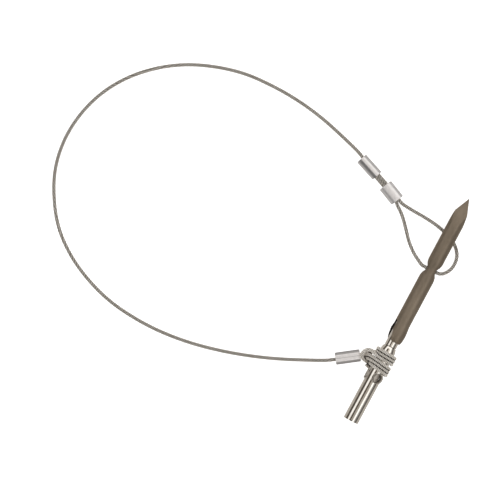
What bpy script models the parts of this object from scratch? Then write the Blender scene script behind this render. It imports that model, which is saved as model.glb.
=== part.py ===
"""A slip tip for a pole spear: a toggling head on a push-off pin, its screw-on adapter and its wire leader.

The shaft axis runs along +Y, from the adapter's open end to the point. The part lies on z = 0.
"""

import math

import bmesh
import bpy
from mathutils import Matrix, Vector

MM = 0.001

# Clearances
PRESS_GAP = 0.15 * MM
RUNNING_GAP = 0.25 * MM
WRAP_GAP = 0.2 * MM
SEAT_STEP = 0.05 * MM
FLOOR_GAP = 0.04 * MM
BUTT_GAP = 0.3 * MM

# Bar that the head and the adapter are turned from, and the cable
STOCK_RADIUS = 4.7625 * MM
CABLE_RADIUS = 1.0 * MM
CABLE_RESOLUTION = 2
TURNED_SEGMENTS = 32
DRILL_SEGMENTS = 16
SHARP_ANGLE = math.radians(35)

# Adapter, placed by its nose
NOSE_Y = -25.6 * MM
ADAPTER_LENGTH = 50.4 * MM
THREAD_MINOR_RADIUS = 3.45 * MM
REAR_CHAMFER = 0.3 * MM
NOSE_LENGTH = 3.6 * MM
NOSE_WALL = 0.5 * MM
NOSE_STEPS = 4
WINDOW_COUNT = 3
WINDOW_ANGLE = math.radians(65)
WINDOW_FROM_REAR = 30.0 * MM
WINDOW_HALF_LENGTH = 2.85 * MM
WINDOW_HALF_WIDTH = 2.65 * MM
WINDOW_RIM = 0.5 * MM
WINDOW_RIM_HEIGHT = 0.7 * MM
WINDOW_SEGMENTS = 24

# Pin that the head is pushed onto
PIN_RADIUS = 3.74 * MM
PIN_NECK = 3.6 * MM
PIN_REACH = 25.3 * MM
PIN_CHAMFER = 0.8 * MM
SHANK_LENGTH = 25.0 * MM

# Head
HEAD_LENGTH = 98.0 * MM
SOCKET_CLEAR = 2.4 * MM
DRILL_POINT = 2.0 * MM
TAIL_LIP = 0.26 * MM
FLARE_HEIGHT = 0.57 * MM
FLARE_CREST = 6.0 * MM
FLARE_END = 13.0 * MM
FLARE_STEPS = 5
WAIST_FROM_TAIL = 49.0 * MM
WAIST_HALF_LENGTH = 6.3 * MM
WAIST_DEPTH = 1.15 * MM
WAIST_STEPS = 8
CABLE_HOLE_GAP = 0.5 * MM
COUNTERSINK_FLARE = 1.3 * MM
COUNTERSINK_DEPTH = 1.5 * MM
FACET_COUNT = 3
FACET_ANGLE = math.radians(100)
FACET_SLOPE = 0.235

# Slot in the side of the head's tail
SLOT_ANGLE = math.radians(167)
SLOT_HALF_WIDTH = 2.4 * MM
SLOT_MOUTH_HALF_WIDTH = 3.8 * MM
SLOT_MOUTH_LENGTH = 7.5 * MM
SLOT_LENGTH = 13.3 * MM
SLOT_ROOT = 1.2 * MM
SLOT_STEPS = 5

# Cable coil round the adapter
COIL_TURNS = 5.78
COIL_START = -0.1
COIL_FROM_NOSE = 3.9 * MM
COIL_PITCH_GAP = 0.03 * MM
# From this turn on, the wraps lean back on the side away from the leader
COIL_LEAN_TURN = 3
COIL_LEAN = 1.2 * MM
COIL_STEPS = 18
COIL_TAIL = 6.4 * MM

# Sleeves pressed onto the cable
SLEEVE_BORE_GAP = 0.3 * MM
SLEEVE_CHAMFER = 0.45 * MM
SLEEVE_STEPS = 24
SHORT_SLEEVE_HALF_WIDTH = 4.4 * MM
SHORT_SLEEVE_HALF_HEIGHT = 2.8 * MM
LONG_SLEEVE_HALF_WIDTH = 3.6 * MM
LONG_SLEEVE_HALF_HEIGHT = 3.1 * MM
HEX_SLEEVE_HALF_FLATS = 3.33 * MM
# A hexagon's corners are taken off at this share of their reach
HEX_CORNER = 0.96

# Worked out from the sizes above
COIL_RADIUS = STOCK_RADIUS + WRAP_GAP + CABLE_RADIUS
COIL_PITCH = 2 * CABLE_RADIUS + COIL_PITCH_GAP
COIL_LENGTH = COIL_PITCH * COIL_TURNS + COIL_LEAN + CABLE_RADIUS + WRAP_GAP
AXIS_Z = COIL_RADIUS + CABLE_RADIUS + FLOOR_GAP
CABLE_Z = CABLE_RADIUS + FLOOR_GAP
REAR_Y = NOSE_Y - ADAPTER_LENGTH
TAIL_Y = NOSE_Y + PIN_NECK
NOSE_RADIUS = THREAD_MINOR_RADIUS + NOSE_WALL
WAIST_Y = TAIL_Y + WAIST_FROM_TAIL
SOCKET_RADIUS = PIN_RADIUS + RUNNING_GAP
SOCKET_DEPTH = PIN_REACH + SOCKET_CLEAR
CABLE_HOLE_RADIUS = CABLE_RADIUS + CABLE_HOLE_GAP
PAIR_OFFSET = CABLE_RADIUS + COIL_PITCH_GAP
SHORT_SLEEVE_Z = SHORT_SLEEVE_HALF_HEIGHT + FLOOR_GAP
LONG_SLEEVE_Z = LONG_SLEEVE_HALF_HEIGHT + FLOOR_GAP
HEX_SLEEVE_Z = HEX_SLEEVE_HALF_FLATS + FLOOR_GAP

# Where each sleeve's two end faces are centred, in plan
SHORT_SLEEVE_ENDS = ((-0.0484, 0.0592), (-0.0376, 0.0546))
LONG_SLEEVE_ENDS = ((-0.0687, 0.0667), (-0.0554, 0.0619))
HEX_SLEEVE_ENDS = ((-0.0255, -0.0475), (-0.0133, -0.0386))
# How far the two cables in the hexagonal sleeve lie from its axis, across and up
HEX_PAIR = (0.4 * MM, 1.15 * MM)

# Route of the leader from the long sleeve to the hexagonal one
LEADER_ROUTE = (
    (-0.0723, 0.0693, 0.0024),
    (-0.0838, 0.0727, 0.0013),
    (-0.1014, 0.0770, CABLE_Z),
    (-0.1193, 0.0795, CABLE_Z),
    (-0.1374, 0.0800, CABLE_Z),
    (-0.1555, 0.0785, CABLE_Z),
    (-0.1730, 0.0738, CABLE_Z),
    (-0.1895, 0.0664, CABLE_Z),
    (-0.2043, 0.0559, CABLE_Z),
    (-0.2167, 0.0427, CABLE_Z),
    (-0.2259, 0.0272, CABLE_Z),
    (-0.2312, 0.0099, CABLE_Z),
    (-0.2324, -0.0081, CABLE_Z),
    (-0.2291, -0.0259, CABLE_Z),
    (-0.2212, -0.0423, CABLE_Z),
    (-0.2103, -0.0566, CABLE_Z),
    (-0.1961, -0.0678, CABLE_Z),
    (-0.1799, -0.0758, CABLE_Z),
    (-0.1626, -0.0810, CABLE_Z),
    (-0.1446, -0.0831, CABLE_Z),
    (-0.1264, -0.0829, CABLE_Z),
    (-0.1085, -0.0806, CABLE_Z),
    (-0.0909, -0.0765, CABLE_Z),
    (-0.0736, -0.0710, CABLE_Z),
    (-0.0568, -0.0643, CABLE_Z),
    (-0.0405, -0.0565, 0.0014),
    (-0.0298, -0.0509, 0.0020),
)
LEADER_SPACING = 6.2 * MM
CURVE_SAMPLES = 16

# Route of the eye loop between the two sides of the short sleeve: under the head, then through its hole
LOOP_ROUTE = (
    (-0.0346, 0.0544, 0.0026),
    (-0.0281, 0.0537, 0.0018),
    (-0.0188, 0.0534, CABLE_Z),
    (-0.0105, 0.0527, CABLE_Z),
    (-0.0045, 0.0515, CABLE_Z),
    (0.0020, 0.0493, CABLE_Z),
    (0.0069, 0.0462, 0.0013),
    (0.0099, 0.0423, 0.0020),
    (0.0110, 0.0380, 0.0033),
    (0.0106, 0.0336, 0.0048),
    (0.0088, 0.0299, 0.0062),
    (0.0064, 0.0277, 0.0070),
)
LOOP_RETURN = (
    (-0.0064, 0.0271, 0.0070),
    (-0.0097, 0.0287, 0.0062),
    (-0.0134, 0.0308, 0.0050),
    (-0.0168, 0.0334, 0.0037),
    (-0.0200, 0.0363, 0.0026),
    (-0.0230, 0.0397, 0.0018),
    (-0.0259, 0.0430, 0.0014),
    (-0.0291, 0.0464, 0.0014),
    (-0.0325, 0.0494, 0.0019),
    (-0.0360, 0.0518, 0.0025),
)
LOOP_SPACING = 3.0 * MM

# Cable strands between the hexagonal sleeve and the coil
LEG_SPACING = 1.4 * MM
LEG_LOWER_ROUTE = ((-0.0110, -0.0373, 0.0026), (-0.0092, -0.0367, 0.0035))
LEG_LOWER_HEIGHT = 0.0043
LEG_LOWER_Y = -0.0364
LEG_UPPER_ROUTE = ((-0.0112, -0.0363, 0.0054), (-0.0094, -0.0355, 0.0063))
LEG_UPPER_HEIGHT = 0.0067
LEG_UPPER_Y = -0.0353
BRIDGE_ROUTE = (
    (-0.0092, -0.0327, 0.0086),
    (-0.0110, -0.0334, 0.0089),
    (-0.0123, -0.0352, 0.0090),
    (-0.0127, -0.0372, 0.0088),
    (-0.0119, -0.0390, 0.0083),
    (-0.0104, -0.0398, 0.0075),
    (-0.0090, -0.0396, 0.0068),
)
BRIDGE_START_Y = -0.0330
BRIDGE_START_HEIGHT = 0.0083
BRIDGE_END_Y = -0.0392
BRIDGE_END_HEIGHT = 0.0065


def clear_scene():
    for old in list(bpy.data.objects):
        bpy.data.objects.remove(old, do_unlink=True)


def metal(name, colour, metallic, roughness):
    made = bpy.data.materials.new(name)
    made.use_nodes = True
    shader = made.node_tree.nodes["Principled BSDF"]
    shader.inputs["Base Color"].default_value = (*colour, 1)
    shader.inputs["Metallic"].default_value = metallic
    shader.inputs["Roughness"].default_value = roughness
    return made


def object_from(name, bm, material):
    """A smooth shaded object made from a bmesh, which it frees."""
    bmesh.ops.recalc_face_normals(bm, faces=bm.faces)
    mesh = bpy.data.meshes.new(name)
    bm.to_mesh(mesh)
    bm.free()
    mesh.shade_smooth()
    mesh.set_sharp_from_angle(angle=SHARP_ANGLE)
    mesh.materials.append(material)
    made = bpy.data.objects.new(name, mesh)
    bpy.context.scene.collection.objects.link(made)
    return made


def bridge_rings(bm, rings):
    """Faces between neighbouring rings, where a ring of one vertex is a pole."""
    for first, second in zip(rings, rings[1:]):
        count = max(len(first), len(second))
        for i in range(count):
            j = (i + 1) % count
            if len(first) == 1:
                bm.faces.new((first[0], second[i], second[j]))
            elif len(second) == 1:
                bm.faces.new((first[i], first[j], second[0]))
            else:
                bm.faces.new((first[i], first[j], second[j], second[i]))


def turned(profile, segments=TURNED_SEGMENTS, closed=False):
    """A body turned about Y from its (y, radius) points. A radius of 0 is a pole."""
    bm = bmesh.new()
    rings = []
    for y, radius in profile:
        if radius == 0:
            rings.append([bm.verts.new((0, y, 0))])
            continue
        angles = [math.tau * i / segments for i in range(segments)]
        rings.append([bm.verts.new((radius * math.cos(a), y, radius * math.sin(a))) for a in angles])
    if closed:
        rings.append(rings[0])
    bridge_rings(bm, rings)
    return bm


def extruded(outline, low, high, places=(Matrix.Identity(4),)):
    """A prism between two heights over a closed outline, repeated at each place."""
    bm = bmesh.new()
    for place in places:
        bottom = [bm.verts.new(place @ Vector((x, y, low))) for x, y in outline]
        top = [bm.verts.new(place @ Vector((x, y, high))) for x, y in outline]
        bridge_rings(bm, [bottom, top])
        bm.faces.new(bottom)
        bm.faces.new(top)
    return bm


def cutter(name, bm, matrix):
    tool = object_from(name, bm, STEEL)
    tool.matrix_world = matrix
    tool.hide_render = True
    tool.display_type = "WIRE"
    return tool


def apply_tool(target, tool, operation="DIFFERENCE"):
    """A Boolean, then triangles, because the next Boolean needs every face it meets to be flat.

    The tool may cross itself, as wide windows' cutters do near the axis.
    """
    modifier = target.modifiers.new(tool.name, "BOOLEAN")
    modifier.operation = operation
    modifier.solver = "EXACT"
    modifier.object = tool
    modifier.use_self = True
    target.modifiers.new(f"{tool.name}_flat", "TRIANGULATE")


def radial(angle, y):
    """A frame on the shaft axis whose Z points out at this angle and whose Y runs along the shaft."""
    out = Vector((math.cos(angle), 0, math.sin(angle)))
    along = Vector((0, 1, 0))
    across = along.cross(out)
    turn = Matrix((across, along, out)).transposed().to_4x4()
    return Matrix.Translation((0, y, AXIS_Z)) @ turn


def ellipse(half_width, half_length, steps):
    angles = [math.tau * i / steps for i in range(steps)]
    return [(half_width * math.cos(a), half_length * math.sin(a)) for a in angles]


def adapter_profile():
    """The adapter's outside, from its open end to its nose, as a solid bar."""
    nose_start = ADAPTER_LENGTH - NOSE_LENGTH
    profile = [(0, 0), (0, STOCK_RADIUS - REAR_CHAMFER), (REAR_CHAMFER, STOCK_RADIUS)]
    for i in range(NOSE_STEPS + 1):
        share = i / NOSE_STEPS
        radius = STOCK_RADIUS - (STOCK_RADIUS - NOSE_RADIUS) * (1 - math.cos(share * math.pi / 2))
        profile.append((nose_start + share * NOSE_LENGTH, radius))
    return profile + [(ADAPTER_LENGTH, 0)]


def bore_profile():
    """The bore through the adapter, with a chamfer at the open end."""
    past = STOCK_RADIUS
    return [
        (-past, 0),
        (-past, THREAD_MINOR_RADIUS + REAR_CHAMFER + past),
        (REAR_CHAMFER, THREAD_MINOR_RADIUS),
        (ADAPTER_LENGTH + past, THREAD_MINOR_RADIUS),
        (ADAPTER_LENGTH + past, 0),
    ]


def coil_seat_profile():
    """All that stands proud of the bar, but for a hair, where the coil is wound."""
    inner = STOCK_RADIUS + SEAT_STEP
    outer = 2 * STOCK_RADIUS
    start = ADAPTER_LENGTH - COIL_FROM_NOSE - COIL_LENGTH
    end = ADAPTER_LENGTH + STOCK_RADIUS
    return [(start, inner), (end, inner), (end, outer), (start, outer)]


def make_adapter():
    """A bar with flat topped oval bosses, bored through, with a window through each boss."""
    place = Matrix.Translation((0, REAR_Y, AXIS_Z))
    tube = object_from("adapter_tube", turned(adapter_profile()), CHROME)
    tube.matrix_world = place
    angles = [WINDOW_ANGLE + math.tau * i / WINDOW_COUNT for i in range(WINDOW_COUNT)]
    places = [radial(angle, REAR_Y + WINDOW_FROM_REAR) for angle in angles]
    boss_half_width = WINDOW_HALF_WIDTH + WINDOW_RIM
    boss = ellipse(boss_half_width, WINDOW_HALF_LENGTH + WINDOW_RIM, WINDOW_SEGMENTS)
    # The bosses start far enough from the axis to clear each other
    foot = boss_half_width / math.tan(math.pi / WINDOW_COUNT) + WRAP_GAP
    bosses = extruded(boss, foot, STOCK_RADIUS + WINDOW_RIM_HEIGHT, places)
    apply_tool(tube, cutter("window_bosses", bosses, Matrix.Identity(4)), "UNION")
    apply_tool(tube, cutter("coil_seat", turned(coil_seat_profile(), closed=True), place))
    apply_tool(tube, cutter("adapter_bore", turned(bore_profile()), place))
    window = ellipse(WINDOW_HALF_WIDTH, WINDOW_HALF_LENGTH, WINDOW_SEGMENTS)
    holes = extruded(window, 0, 2 * STOCK_RADIUS, places)
    apply_tool(tube, cutter("window_holes", holes, Matrix.Identity(4)))


def make_pin():
    shank_radius = THREAD_MINOR_RADIUS - PRESS_GAP
    seat = ADAPTER_LENGTH + BUTT_GAP
    tip = ADAPTER_LENGTH + PIN_NECK + PIN_REACH
    profile = [
        (ADAPTER_LENGTH - SHANK_LENGTH, 0),
        (ADAPTER_LENGTH - SHANK_LENGTH, shank_radius - PIN_CHAMFER),
        (ADAPTER_LENGTH - SHANK_LENGTH + PIN_CHAMFER, shank_radius),
        (seat, shank_radius),
        (seat, PIN_RADIUS),
        (tip - PIN_CHAMFER, PIN_RADIUS),
        (tip, PIN_RADIUS - PIN_CHAMFER),
        (tip, 0),
    ]
    pin = object_from("mandrel_pin", turned(profile), CHROME)
    pin.location = (0, REAR_Y, AXIS_Z)


def head_profile():
    """The head's section from the bottom of its socket, out of its mouth and up its outside."""
    lip = SOCKET_RADIUS + TAIL_LIP
    crest = STOCK_RADIUS + FLARE_HEIGHT
    profile = [(SOCKET_DEPTH + DRILL_POINT, 0), (SOCKET_DEPTH, SOCKET_RADIUS), (0, SOCKET_RADIUS), (0, lip)]
    for i in range(1, FLARE_STEPS + 1):
        back = 1 - i / FLARE_STEPS
        profile.append((FLARE_CREST * (1 - back), lip + (crest - lip) * math.sqrt(1 - back * back)))
    for i in range(1, FLARE_STEPS + 1):
        share = i / FLARE_STEPS
        height = FLARE_HEIGHT * (1 + math.cos(math.pi * share)) / 2
        profile.append((FLARE_CREST + (FLARE_END - FLARE_CREST) * share, STOCK_RADIUS + height))
    for i in range(WAIST_STEPS + 1):
        share = 2 * i / WAIST_STEPS - 1
        depth = WAIST_DEPTH * (1 + math.cos(math.pi * share)) / 2
        profile.append((WAIST_FROM_TAIL + WAIST_HALF_LENGTH * share, STOCK_RADIUS - depth))
    end = HEAD_LENGTH + STOCK_RADIUS
    profile += [(end, STOCK_RADIUS), (end, 0)]
    return profile


def cut_facets(bm):
    """Flats that meet at the point, spread evenly round the axis."""
    for i in range(FACET_COUNT):
        angle = FACET_ANGLE + math.tau * i / FACET_COUNT
        normal = Vector((math.cos(angle), FACET_SLOPE, math.sin(angle)))
        everything = bm.verts[:] + bm.edges[:] + bm.faces[:]
        bmesh.ops.bisect_plane(
            bm, geom=everything, plane_co=(0, HEAD_LENGTH, 0), plane_no=normal, clear_outer=True
        )
        rim = [edge for edge in bm.edges if edge.is_boundary]
        bmesh.ops.edgeloop_fill(bm, edges=rim)


def slot_outline():
    """Half the slot's edge from its mouth to its round end, then mirrored."""
    side = [(SLOT_MOUTH_HALF_WIDTH, -STOCK_RADIUS)]
    for i in range(SLOT_STEPS + 1):
        share = i / SLOT_STEPS
        widening = (SLOT_MOUTH_HALF_WIDTH - SLOT_HALF_WIDTH) * math.sqrt(1 - share * share)
        side.append((SLOT_HALF_WIDTH + widening, SLOT_MOUTH_LENGTH * share))
    for i in range(SLOT_STEPS):
        angle = math.pi / 2 * i / SLOT_STEPS
        y = SLOT_LENGTH - SLOT_HALF_WIDTH * (1 - math.sin(angle))
        side.append((SLOT_HALF_WIDTH * math.cos(angle), y))
    side.append((0, SLOT_LENGTH))
    return side + [(-x, y) for x, y in reversed(side[:-1])]


def make_head():
    bm = turned(head_profile())
    bmesh.ops.recalc_face_normals(bm, faces=bm.faces)
    cut_facets(bm)
    head = object_from("head_body", bm, BRONZE)
    head.location = (0, TAIL_Y, AXIS_Z)
    slot = extruded(slot_outline(), SLOT_ROOT, 3 * STOCK_RADIUS)
    apply_tool(head, cutter("slot_cut", slot, radial(SLOT_ANGLE, TAIL_Y)))
    reach = 2 * STOCK_RADIUS
    mouth = STOCK_RADIUS - WAIST_DEPTH
    wide = CABLE_HOLE_RADIUS + COUNTERSINK_FLARE
    wider = wide + (reach - mouth) * COUNTERSINK_FLARE / COUNTERSINK_DEPTH
    profile = [
        (-reach, 0),
        (-reach, wider),
        (COUNTERSINK_DEPTH - mouth, CABLE_HOLE_RADIUS),
        (mouth - COUNTERSINK_DEPTH, CABLE_HOLE_RADIUS),
        (reach, wider),
        (reach, 0),
    ]
    across = Matrix.Translation((0, WAIST_Y, AXIS_Z)) @ Matrix.Rotation(math.pi / 2, 4, "Z")
    apply_tool(head, cutter("cable_hole_cut", turned(profile), across))


def smooth_curve(points):
    """Points along a centripetal Catmull-Rom curve through these ones."""
    pts = [Vector(p) for p in points]
    pts = [2 * pts[0] - pts[1]] + pts + [2 * pts[-1] - pts[-2]]
    found = []
    for p0, p1, p2, p3 in zip(pts, pts[1:], pts[2:], pts[3:]):
        t1 = math.sqrt((p1 - p0).length)
        t2 = t1 + math.sqrt((p2 - p1).length)
        t3 = t2 + math.sqrt((p3 - p2).length)
        for i in range(CURVE_SAMPLES):
            t = t1 + (t2 - t1) * i / CURVE_SAMPLES
            a1 = p0.lerp(p1, t / t1)
            a2 = p1.lerp(p2, (t - t1) / (t2 - t1))
            a3 = p2.lerp(p3, (t - t2) / (t3 - t2))
            b1 = a1.lerp(a2, t / t2)
            b2 = a2.lerp(a3, (t - t1) / (t3 - t1))
            found.append(b1.lerp(b2, (t - t1) / (t2 - t1)))
    return found + [pts[-2]]


def evenly_spaced(points, spacing):
    lengths = [0.0]
    for first, second in zip(points, points[1:]):
        lengths.append(lengths[-1] + (second - first).length)
    count = max(2, round(lengths[-1] / spacing))
    found = []
    at = 0
    for i in range(count + 1):
        target = lengths[-1] * i / count
        while at < len(points) - 2 and lengths[at + 1] < target:
            at += 1
        share = (target - lengths[at]) / (lengths[at + 1] - lengths[at])
        found.append(points[at].lerp(points[at + 1], share))
    return found


def cable(name, points):
    """A cable along these points, with closed ends."""
    curve = bpy.data.curves.new(name, "CURVE")
    curve.dimensions = "3D"
    curve.bevel_depth = CABLE_RADIUS
    curve.bevel_resolution = CABLE_RESOLUTION
    curve.use_fill_caps = True
    spline = curve.splines.new("POLY")
    spline.points.add(len(points) - 1)
    for spot, point in zip(spline.points, points):
        spot.co = (*point, 1)
    curve.materials.append(WIRE)
    made = bpy.data.objects.new(name, curve)
    bpy.context.scene.collection.objects.link(made)


def sleeve_frame(ends, height):
    """The sleeve's centre, its length and the frame whose Y runs from its first end to its second."""
    first, second = (Vector((*end, height)) for end in ends)
    along = (second - first).normalized()
    across = along.cross(Vector((0, 0, 1)))
    turn = Matrix((across, along, Vector((0, 0, 1)))).transposed().to_4x4()
    return Matrix.Translation((first + second) / 2) @ turn, (second - first).length


def on_sleeve(ends, height, share, across, up):
    """A point in a sleeve: share 0 and 1 are its end faces."""
    frame, length = sleeve_frame(ends, height)
    return frame @ Vector((across, length * (share - 0.5), up))


def hexagon_section(half_flats):
    """A hexagon on one of its flats, with its corners taken off."""
    corner = HEX_CORNER * half_flats / math.cos(math.pi / 6)
    found = []
    for i in range(SLEEVE_STEPS):
        angle = math.tau * i / SLEEVE_STEPS
        from_flat = (angle + math.pi / 3) % (math.pi / 3) - math.pi / 6
        radius = min(half_flats / math.cos(from_flat), corner)
        found.append((radius * math.cos(angle), radius * math.sin(angle)))
    return found


def make_sleeve(name, ends, height, section, bores):
    """A pressed sleeve with a bore for each cable, given as (across, up) from its axis."""
    frame, length = sleeve_frame(ends, height)
    inset = 1 - SLEEVE_CHAMFER / max(z for _, z in section)
    bm = bmesh.new()
    rings = []
    half = length / 2
    for y, scale in ((-half, inset), (SLEEVE_CHAMFER - half, 1), (half - SLEEVE_CHAMFER, 1), (half, inset)):
        rings.append([bm.verts.new((x * scale, y, z * scale)) for x, z in section])
    bridge_rings(bm, rings)
    bm.faces.new(rings[0])
    bm.faces.new(rings[-1])
    sleeve = object_from(name, bm, ALUMINIUM)
    sleeve.matrix_world = frame
    for i, (across, up) in enumerate(bores):
        radius = CABLE_RADIUS + SLEEVE_BORE_GAP
        drill = turned([(-length, 0), (-length, radius), (length, radius), (length, 0)], segments=DRILL_SEGMENTS)
        place = frame @ Matrix.Translation((across, 0, up))
        apply_tool(sleeve, cutter(f"{name}_bore_{i}", drill, place))


def make_coil():
    """Cable wound round the adapter from its nose towards its rear, ending in a cut tail."""
    count = round((COIL_TURNS - COIL_START) * COIL_STEPS)
    points = []
    for i in range(count + 1):
        turn = COIL_START + (COIL_TURNS - COIL_START) * i / count
        angle = math.pi - math.tau * turn
        lean = COIL_LEAN * (1 + math.cos(angle)) / 2 if turn > COIL_LEAN_TURN else 0
        y = NOSE_Y - COIL_FROM_NOSE - COIL_PITCH * turn - lean
        points.append(Vector((COIL_RADIUS * math.cos(angle), y, AXIS_Z + COIL_RADIUS * math.sin(angle))))
    heading = (points[-1] - points[-2]).normalized()
    points.append(points[-1] + heading * COIL_TAIL)
    cable("hitch_coil", points)
    return -COIL_RADIUS - CABLE_RADIUS - BUTT_GAP


def make_hitch(coil_side):
    """The two strands from the sleeve to the coil, and the strand that loops over them."""
    spread, lift = HEX_PAIR
    lower = [on_sleeve(HEX_SLEEVE_ENDS, HEX_SLEEVE_Z, share, spread, -lift) for share in (0.5, 0.75, 1.0)]
    lower += [Vector(p) for p in LEG_LOWER_ROUTE]
    lower.append(Vector((coil_side, LEG_LOWER_Y, LEG_LOWER_HEIGHT)))
    cable("hitch_leg_lower", evenly_spaced(smooth_curve(lower), LEG_SPACING))
    upper = [on_sleeve(HEX_SLEEVE_ENDS, HEX_SLEEVE_Z, share, -spread, lift) for share in (0.05, 0.5, 1.0)]
    upper += [Vector(p) for p in LEG_UPPER_ROUTE]
    upper.append(Vector((coil_side, LEG_UPPER_Y, LEG_UPPER_HEIGHT)))
    cable("hitch_leg_upper", evenly_spaced(smooth_curve(upper), LEG_SPACING))
    bridge = [Vector((coil_side, BRIDGE_START_Y, BRIDGE_START_HEIGHT))]
    bridge += [Vector(p) for p in BRIDGE_ROUTE]
    bridge.append(Vector((coil_side, BRIDGE_END_Y, BRIDGE_END_HEIGHT)))
    cable("hitch_bridge", evenly_spaced(smooth_curve(bridge), LEG_SPACING))


def make_leader():
    """The leader in two lengths, parted where it runs square to the shaft, so that the head can slide away."""
    start = on_sleeve(LONG_SLEEVE_ENDS, LONG_SLEEVE_Z, 0, -PAIR_OFFSET, 0)
    outward = (start - on_sleeve(LONG_SLEEVE_ENDS, LONG_SLEEVE_Z, 0.5, -PAIR_OFFSET, 0)).normalized()
    spread, lift = HEX_PAIR
    end = [on_sleeve(HEX_SLEEVE_ENDS, HEX_SLEEVE_Z, share, spread, -lift) for share in (0, 0.25)]
    inward = (end[1] - end[0]).normalized()
    end.append(on_sleeve(HEX_SLEEVE_ENDS, HEX_SLEEVE_Z, 0.5, spread, -lift) - inward * BUTT_GAP)
    route = [start + outward * BUTT_GAP] + [Vector(p) for p in LEADER_ROUTE] + end
    points = evenly_spaced(smooth_curve(route), LEADER_SPACING)
    part_at = max(range(len(points)), key=lambda i: points[i].y)
    gap = (points[part_at - 1] - points[part_at]).normalized() * BUTT_GAP
    cable("leader_head_end", points[:part_at] + [points[part_at] + gap])
    cable("leader_cable", points[part_at:])


def make_eye_loop():
    """One cable from the long sleeve, through the short one, round the head and back."""
    long_way = [on_sleeve(LONG_SLEEVE_ENDS, LONG_SLEEVE_Z, s, -PAIR_OFFSET, 0) for s in (0, 0.5, 1)]
    short_way = [on_sleeve(SHORT_SLEEVE_ENDS, SHORT_SLEEVE_Z, s, -PAIR_OFFSET, 0) for s in (0, 0.5, 1)]
    back = [on_sleeve(SHORT_SLEEVE_ENDS, SHORT_SLEEVE_Z, s, PAIR_OFFSET, 0) for s in (1, 0.5, 0)]
    back += [on_sleeve(LONG_SLEEVE_ENDS, LONG_SLEEVE_Z, s, PAIR_OFFSET, 0) for s in (1, 0.5, 0.02)]
    half_hole = STOCK_RADIUS - WAIST_DEPTH
    hole = [Vector((x, WAIST_Y, AXIS_Z)) for x in (half_hole, 0, -half_hole)]
    route = long_way + short_way + [Vector(p) for p in LOOP_ROUTE] + hole
    route += [Vector(p) for p in LOOP_RETURN] + back
    cable("eye_loop", evenly_spaced(smooth_curve(route), LOOP_SPACING))


clear_scene()
BRONZE = metal("satin_bronze_steel", (0.22, 0.18, 0.13), 0.9, 0.4)
CHROME = metal("polished_chrome", (0.75, 0.72, 0.66), 1.0, 0.12)
ALUMINIUM = metal("pressed_aluminium", (0.78, 0.77, 0.76), 0.9, 0.35)
WIRE = metal("steel_wire_rope", (0.36, 0.34, 0.28), 0.9, 0.4)
STEEL = metal("tool_steel", (0.5, 0.5, 0.5), 1.0, 0.5)

make_adapter()
make_pin()
make_head()
make_sleeve(
    "splice_sleeve_short",
    SHORT_SLEEVE_ENDS,
    SHORT_SLEEVE_Z,
    ellipse(SHORT_SLEEVE_HALF_WIDTH, SHORT_SLEEVE_HALF_HEIGHT, SLEEVE_STEPS),
    ((PAIR_OFFSET, 0), (-PAIR_OFFSET, 0)),
)
make_sleeve(
    "splice_sleeve_long",
    LONG_SLEEVE_ENDS,
    LONG_SLEEVE_Z,
    ellipse(LONG_SLEEVE_HALF_WIDTH, LONG_SLEEVE_HALF_HEIGHT, SLEEVE_STEPS),
    ((PAIR_OFFSET, 0), (-PAIR_OFFSET, 0)),
)
make_sleeve(
    "hitch_sleeve",
    HEX_SLEEVE_ENDS,
    HEX_SLEEVE_Z,
    hexagon_section(HEX_SLEEVE_HALF_FLATS),
    ((HEX_PAIR[0], -HEX_PAIR[1]), (-HEX_PAIR[0], HEX_PAIR[1])),
)
make_hitch(make_coil())
make_leader()
make_eye_loop()
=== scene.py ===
import math

import bmesh
import bpy
import numpy as np
from mathutils import Matrix, Vector


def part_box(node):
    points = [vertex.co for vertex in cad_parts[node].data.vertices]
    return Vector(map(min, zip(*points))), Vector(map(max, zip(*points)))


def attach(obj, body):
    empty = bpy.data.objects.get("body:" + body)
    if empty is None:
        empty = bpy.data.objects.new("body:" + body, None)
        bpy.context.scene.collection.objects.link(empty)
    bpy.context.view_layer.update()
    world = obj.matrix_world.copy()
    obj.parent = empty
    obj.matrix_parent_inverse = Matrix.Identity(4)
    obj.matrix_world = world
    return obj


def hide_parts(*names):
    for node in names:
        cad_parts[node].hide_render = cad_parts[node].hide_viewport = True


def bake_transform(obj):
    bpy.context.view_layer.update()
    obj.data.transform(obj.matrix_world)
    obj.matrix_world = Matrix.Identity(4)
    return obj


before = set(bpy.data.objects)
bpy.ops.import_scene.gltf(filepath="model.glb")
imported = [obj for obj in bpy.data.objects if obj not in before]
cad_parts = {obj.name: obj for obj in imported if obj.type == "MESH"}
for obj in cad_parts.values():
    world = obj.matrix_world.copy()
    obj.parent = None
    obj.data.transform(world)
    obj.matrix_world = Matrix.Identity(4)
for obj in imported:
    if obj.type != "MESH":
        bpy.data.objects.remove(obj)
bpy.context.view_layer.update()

print("frame loaded:", ", ".join(sorted(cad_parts)))

mm = 0.001

# Places read off the frame
tubeLow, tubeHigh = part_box("adapter_tube")
headLow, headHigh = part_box("head_body")
pinLow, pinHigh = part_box("mandrel_pin")
shaft = {
    "height": (pinLow.z + pinHigh.z) / 2,
    "rear": tubeLow.y,
    "nose": tubeHigh.y,
    "tail": headLow.y,
    "point": headHigh.y,
    "barRadius": 4.7625 * mm,
}

camera = {
    "centre": (-0.1020, -0.0139),
    "seenWidth": 0.3015,
    "turn": 28.15,       # degrees, so that the shaft leans to the right
    "lens": 200,
    "sensor": 36,
    "farthest": 20,
}


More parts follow.
